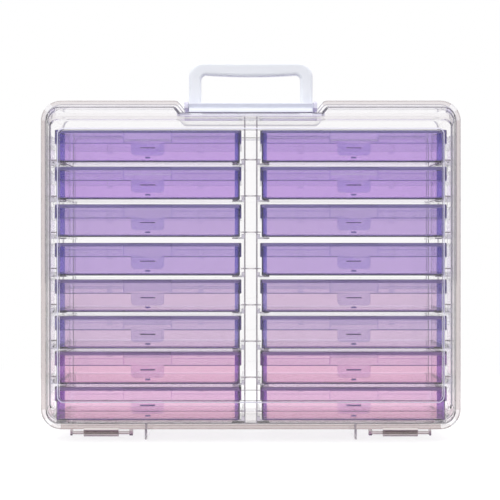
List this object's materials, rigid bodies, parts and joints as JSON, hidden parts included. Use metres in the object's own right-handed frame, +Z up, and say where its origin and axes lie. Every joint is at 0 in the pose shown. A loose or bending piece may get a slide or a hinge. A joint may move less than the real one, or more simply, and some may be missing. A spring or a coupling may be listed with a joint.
{
  "type": "photo keeper case",
  "caption": "Clear carrying case with a hinged front lid, folding handle and latch, holding two columns of tinted snap-lid photo cases on ledges.",
  "frame": {"origin": "on the surface it stands on, midway between the sides and between front and back", "axes": "+Z up, the lid faces -Y, +X to the right as seen from the front"},
  "size_m": [0.3784, 0.127, 0.3408],
  "materials": {
    "clear_shell": "clear moulded polypropylene",
    "white_fittings": "cool white moulded plastic, satin",
    "violet": "clear violet tint",
    "lilac": "clear lilac tint",
    "lavender": "clear lavender tint",
    "pink": "clear pink tint"
  },
  "bodies": {
    "body": {"outer_body": "clear_shell"},
    "lid": {"front_lid": "clear_shell"},
    "handle": {"carry_handle": "white_fittings"},
    "latch": {"top_latch": "white_fittings"},
    "case_left_1": {"tray_left_1": "violet", "cover_left_1": "violet"},
    "case_left_2": {"tray_left_2": "violet", "cover_left_2": "violet"},
    "case_left_3": {"tray_left_3": "lilac", "cover_left_3": "lilac"},
    "case_left_4": {"tray_left_4": "lilac", "cover_left_4": "lilac"},
    "case_left_5": {"tray_left_5": "lavender", "cover_left_5": "lavender"},
    "case_left_6": {"tray_left_6": "lavender", "cover_left_6": "lavender"},
    "case_left_7": {"tray_left_7": "pink", "cover_left_7": "pink"},
    "case_left_8": {"tray_left_8": "pink", "cover_left_8": "pink"},
    "case_right_1": {"tray_right_1": "violet", "cover_right_1": "violet"},
    "case_right_2": {"tray_right_2": "violet", "cover_right_2": "violet"},
    "case_right_3": {"tray_right_3": "lilac", "cover_right_3": "lilac"},
    "case_right_4": {"tray_right_4": "lilac", "cover_right_4": "lilac"},
    "case_right_5": {"tray_right_5": "lavender", "cover_right_5": "lavender"},
    "case_right_6": {"tray_right_6": "lavender", "cover_right_6": "lavender"},
    "case_right_7": {"tray_right_7": "pink", "cover_right_7": "pink"},
    "case_right_8": {"tray_right_8": "pink", "cover_right_8": "pink"}
  },
  "joints": [
    {"name": "lid_hinge", "type": "hinge", "parent": "body", "child": "lid", "pos_m": [0, -0.0315, 0.0066], "axis": [1, 0, 0], "range_deg": [0, 120]},
    {"name": "handle_fold", "type": "hinge", "parent": "body", "child": "handle", "pos_m": [0, -0.022, 0.2996], "axis": [-1, 0, 0], "range_deg": [0, 90]},
    {"name": "latch_lift", "type": "hinge", "parent": "body", "child": "latch", "pos_m": [0, -0.0334, 0.3002], "axis": [-1, 0, 0], "range_deg": [0, 100]},
    {"name": "slide_left_1", "type": "slide", "parent": "body", "child": "case_left_1", "axis": [0, -1, 0], "range_m": [0, 0.055]},
    {"name": "slide_left_2", "type": "slide", "parent": "body", "child": "case_left_2", "axis": [0, -1, 0], "range_m": [0, 0.055]},
    {"name": "slide_left_3", "type": "slide", "parent": "body", "child": "case_left_3", "axis": [0, -1, 0], "range_m": [0, 0.055]},
    {"name": "slide_left_4", "type": "slide", "parent": "body", "child": "case_left_4", "axis": [0, -1, 0], "range_m": [0, 0.055]},
    {"name": "slide_left_5", "type": "slide", "parent": "body", "child": "case_left_5", "axis": [0, -1, 0], "range_m": [0, 0.055]},
    {"name": "slide_left_6", "type": "slide", "parent": "body", "child": "case_left_6", "axis": [0, -1, 0], "range_m": [0, 0.055]},
    {"name": "slide_left_7", "type": "slide", "parent": "body", "child": "case_left_7", "axis": [0, -1, 0], "range_m": [0, 0.055]},
    {"name": "slide_left_8", "type": "slide", "parent": "body", "child": "case_left_8", "axis": [0, -1, 0], "range_m": [0, 0.055]},
    {"name": "slide_right_1", "type": "slide", "parent": "body", "child": "case_right_1", "axis": [0, -1, 0], "range_m": [0, 0.055]},
    {"name": "slide_right_2", "type": "slide", "parent": "body", "child": "case_right_2", "axis": [0, -1, 0], "range_m": [0, 0.055]},
    {"name": "slide_right_3", "type": "slide", "parent": "body", "child": "case_right_3", "axis": [0, -1, 0], "range_m": [0, 0.055]},
    {"name": "slide_right_4", "type": "slide", "parent": "body", "child": "case_right_4", "axis": [0, -1, 0], "range_m": [0, 0.055]},
    {"name": "slide_right_5", "type": "slide", "parent": "body", "child": "case_right_5", "axis": [0, -1, 0], "range_m": [0, 0.055]},
    {"name": "slide_right_6", "type": "slide", "parent": "body", "child": "case_right_6", "axis": [0, -1, 0], "range_m": [0, 0.055]},
    {"name": "slide_right_7", "type": "slide", "parent": "body", "child": "case_right_7", "axis": [0, -1, 0], "range_m": [0, 0.055]},
    {"name": "slide_right_8", "type": "slide", "parent": "body", "child": "case_right_8", "axis": [0, -1, 0], "range_m": [0, 0.055]}
  ],
  "couplings": [
    {"joint": "slide_left_1", "follows": "lid_hinge", "m_per_rad": 0.025},
    {"joint": "slide_left_2", "follows": "lid_hinge", "m_per_rad": 0.025},
    {"joint": "slide_left_3", "follows": "lid_hinge", "m_per_rad": 0.025},
    {"joint": "slide_left_4", "follows": "lid_hinge", "m_per_rad": 0.025},
    {"joint": "slide_left_5", "follows": "lid_hinge", "m_per_rad": 0.025},
    {"joint": "slide_left_6", "follows": "lid_hinge", "m_per_rad": 0.025},
    {"joint": "slide_left_7", "follows": "lid_hinge", "m_per_rad": 0.025},
    {"joint": "slide_left_8", "follows": "lid_hinge", "m_per_rad": 0.025},
    {"joint": "slide_right_1", "follows": "lid_hinge", "m_per_rad": 0.025},
    {"joint": "slide_right_2", "follows": "lid_hinge", "m_per_rad": 0.025},
    {"joint": "slide_right_3", "follows": "lid_hinge", "m_per_rad": 0.025},
    {"joint": "slide_right_4", "follows": "lid_hinge", "m_per_rad": 0.025},
    {"joint": "slide_right_5", "follows": "lid_hinge", "m_per_rad": 0.025},
    {"joint": "slide_right_6", "follows": "lid_hinge", "m_per_rad": 0.025},
    {"joint": "slide_right_7", "follows": "lid_hinge", "m_per_rad": 0.025},
    {"joint": "slide_right_8", "follows": "lid_hinge", "m_per_rad": 0.025}
  ]
}
